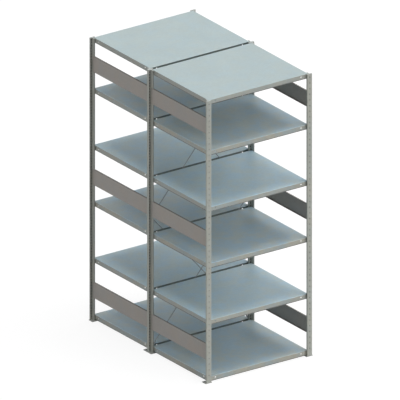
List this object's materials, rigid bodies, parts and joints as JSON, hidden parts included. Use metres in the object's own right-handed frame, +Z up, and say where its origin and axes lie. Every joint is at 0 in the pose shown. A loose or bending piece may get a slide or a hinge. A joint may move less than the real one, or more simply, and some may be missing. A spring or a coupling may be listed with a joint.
{
  "type": "double-sided library shelving",
  "caption": "Free-standing double-sided steel library shelving: two runs of folded galvanised shelves back to back on slotted T posts with depth braces and crossed rods.",
  "frame": {"origin": "on the floor under the centre of the unit", "axes": "+X along the shelves from the left end frame to the right one, +Y from the front run to the rear run, +Z up"},
  "size_m": [1.071, 1.67, 2.5],
  "materials": {
    "post_steel": "galvanised, matt",
    "foot_steel": "galvanised, matt",
    "brace_steel": "galvanised, matt",
    "shelf_steel": "galvanised, satin with faint spangle",
    "rod_steel": "drawn and zinc plated",
    "zinc_fittings": "zinc plated"
  },
  "bodies": {
    "root": {"clips_front_inner_left": "zinc_fittings", "clips_front_inner_right": "zinc_fittings", "clips_front_outer_left": "zinc_fittings", "clips_front_outer_right": "zinc_fittings", "clips_rear_inner_left": "zinc_fittings", "clips_rear_inner_right": "zinc_fittings", "clips_rear_outer_left": "zinc_fittings", "clips_rear_outer_right": "zinc_fittings", "cross_rod_lower_front": "rod_steel", "cross_rod_lower_rear": "rod_steel", "cross_rod_upper_front": "rod_steel", "cross_rod_upper_rear": "rod_steel", "depth_brace_front_left_high": "brace_steel", "depth_brace_front_left_low": "brace_steel", "depth_brace_front_left_middle": "brace_steel", "depth_brace_front_right_high": "brace_steel", "depth_brace_front_right_low": "brace_steel", "depth_brace_front_right_middle": "brace_steel", "depth_brace_rear_left_high": "brace_steel", "depth_brace_rear_left_low": "brace_steel", "depth_brace_rear_left_middle": "brace_steel", "depth_brace_rear_right_high": "brace_steel", "depth_brace_rear_right_low": "brace_steel", "depth_brace_rear_right_middle": "brace_steel", "foot_front_inner_left": "foot_steel", "foot_front_inner_right": "foot_steel", "foot_front_outer_left": "foot_steel", "foot_front_outer_right": "foot_steel", "foot_rear_inner_left": "foot_steel", "foot_rear_inner_right": "foot_steel", "foot_rear_outer_left": "foot_steel", "foot_rear_outer_right": "foot_steel", "post_front_inner_left": "post_steel", "post_front_inner_right": "post_steel", "post_front_outer_left": "post_steel", "post_front_outer_right": "post_steel", "post_rear_inner_left": "post_steel", "post_rear_inner_right": "post_steel", "post_rear_outer_left": "post_steel", "post_rear_outer_right": "post_steel", "row_connectors_left": "zinc_fittings", "row_connectors_right": "zinc_fittings", "shelf_front_1": "shelf_steel", "shelf_front_2": "shelf_steel", "shelf_front_3": "shelf_steel", "shelf_front_4": "shelf_steel", "shelf_front_5": "shelf_steel", "shelf_front_6": "shelf_steel", "shelf_rear_1": "shelf_steel", "shelf_rear_2": "shelf_steel", "shelf_rear_3": "shelf_steel", "shelf_rear_4": "shelf_steel", "shelf_rear_5": "shelf_steel", "shelf_rear_6": "shelf_steel", "shelf_stiffeners_front": "shelf_steel", "shelf_stiffeners_rear": "shelf_steel"}
  },
  "joints": []
}
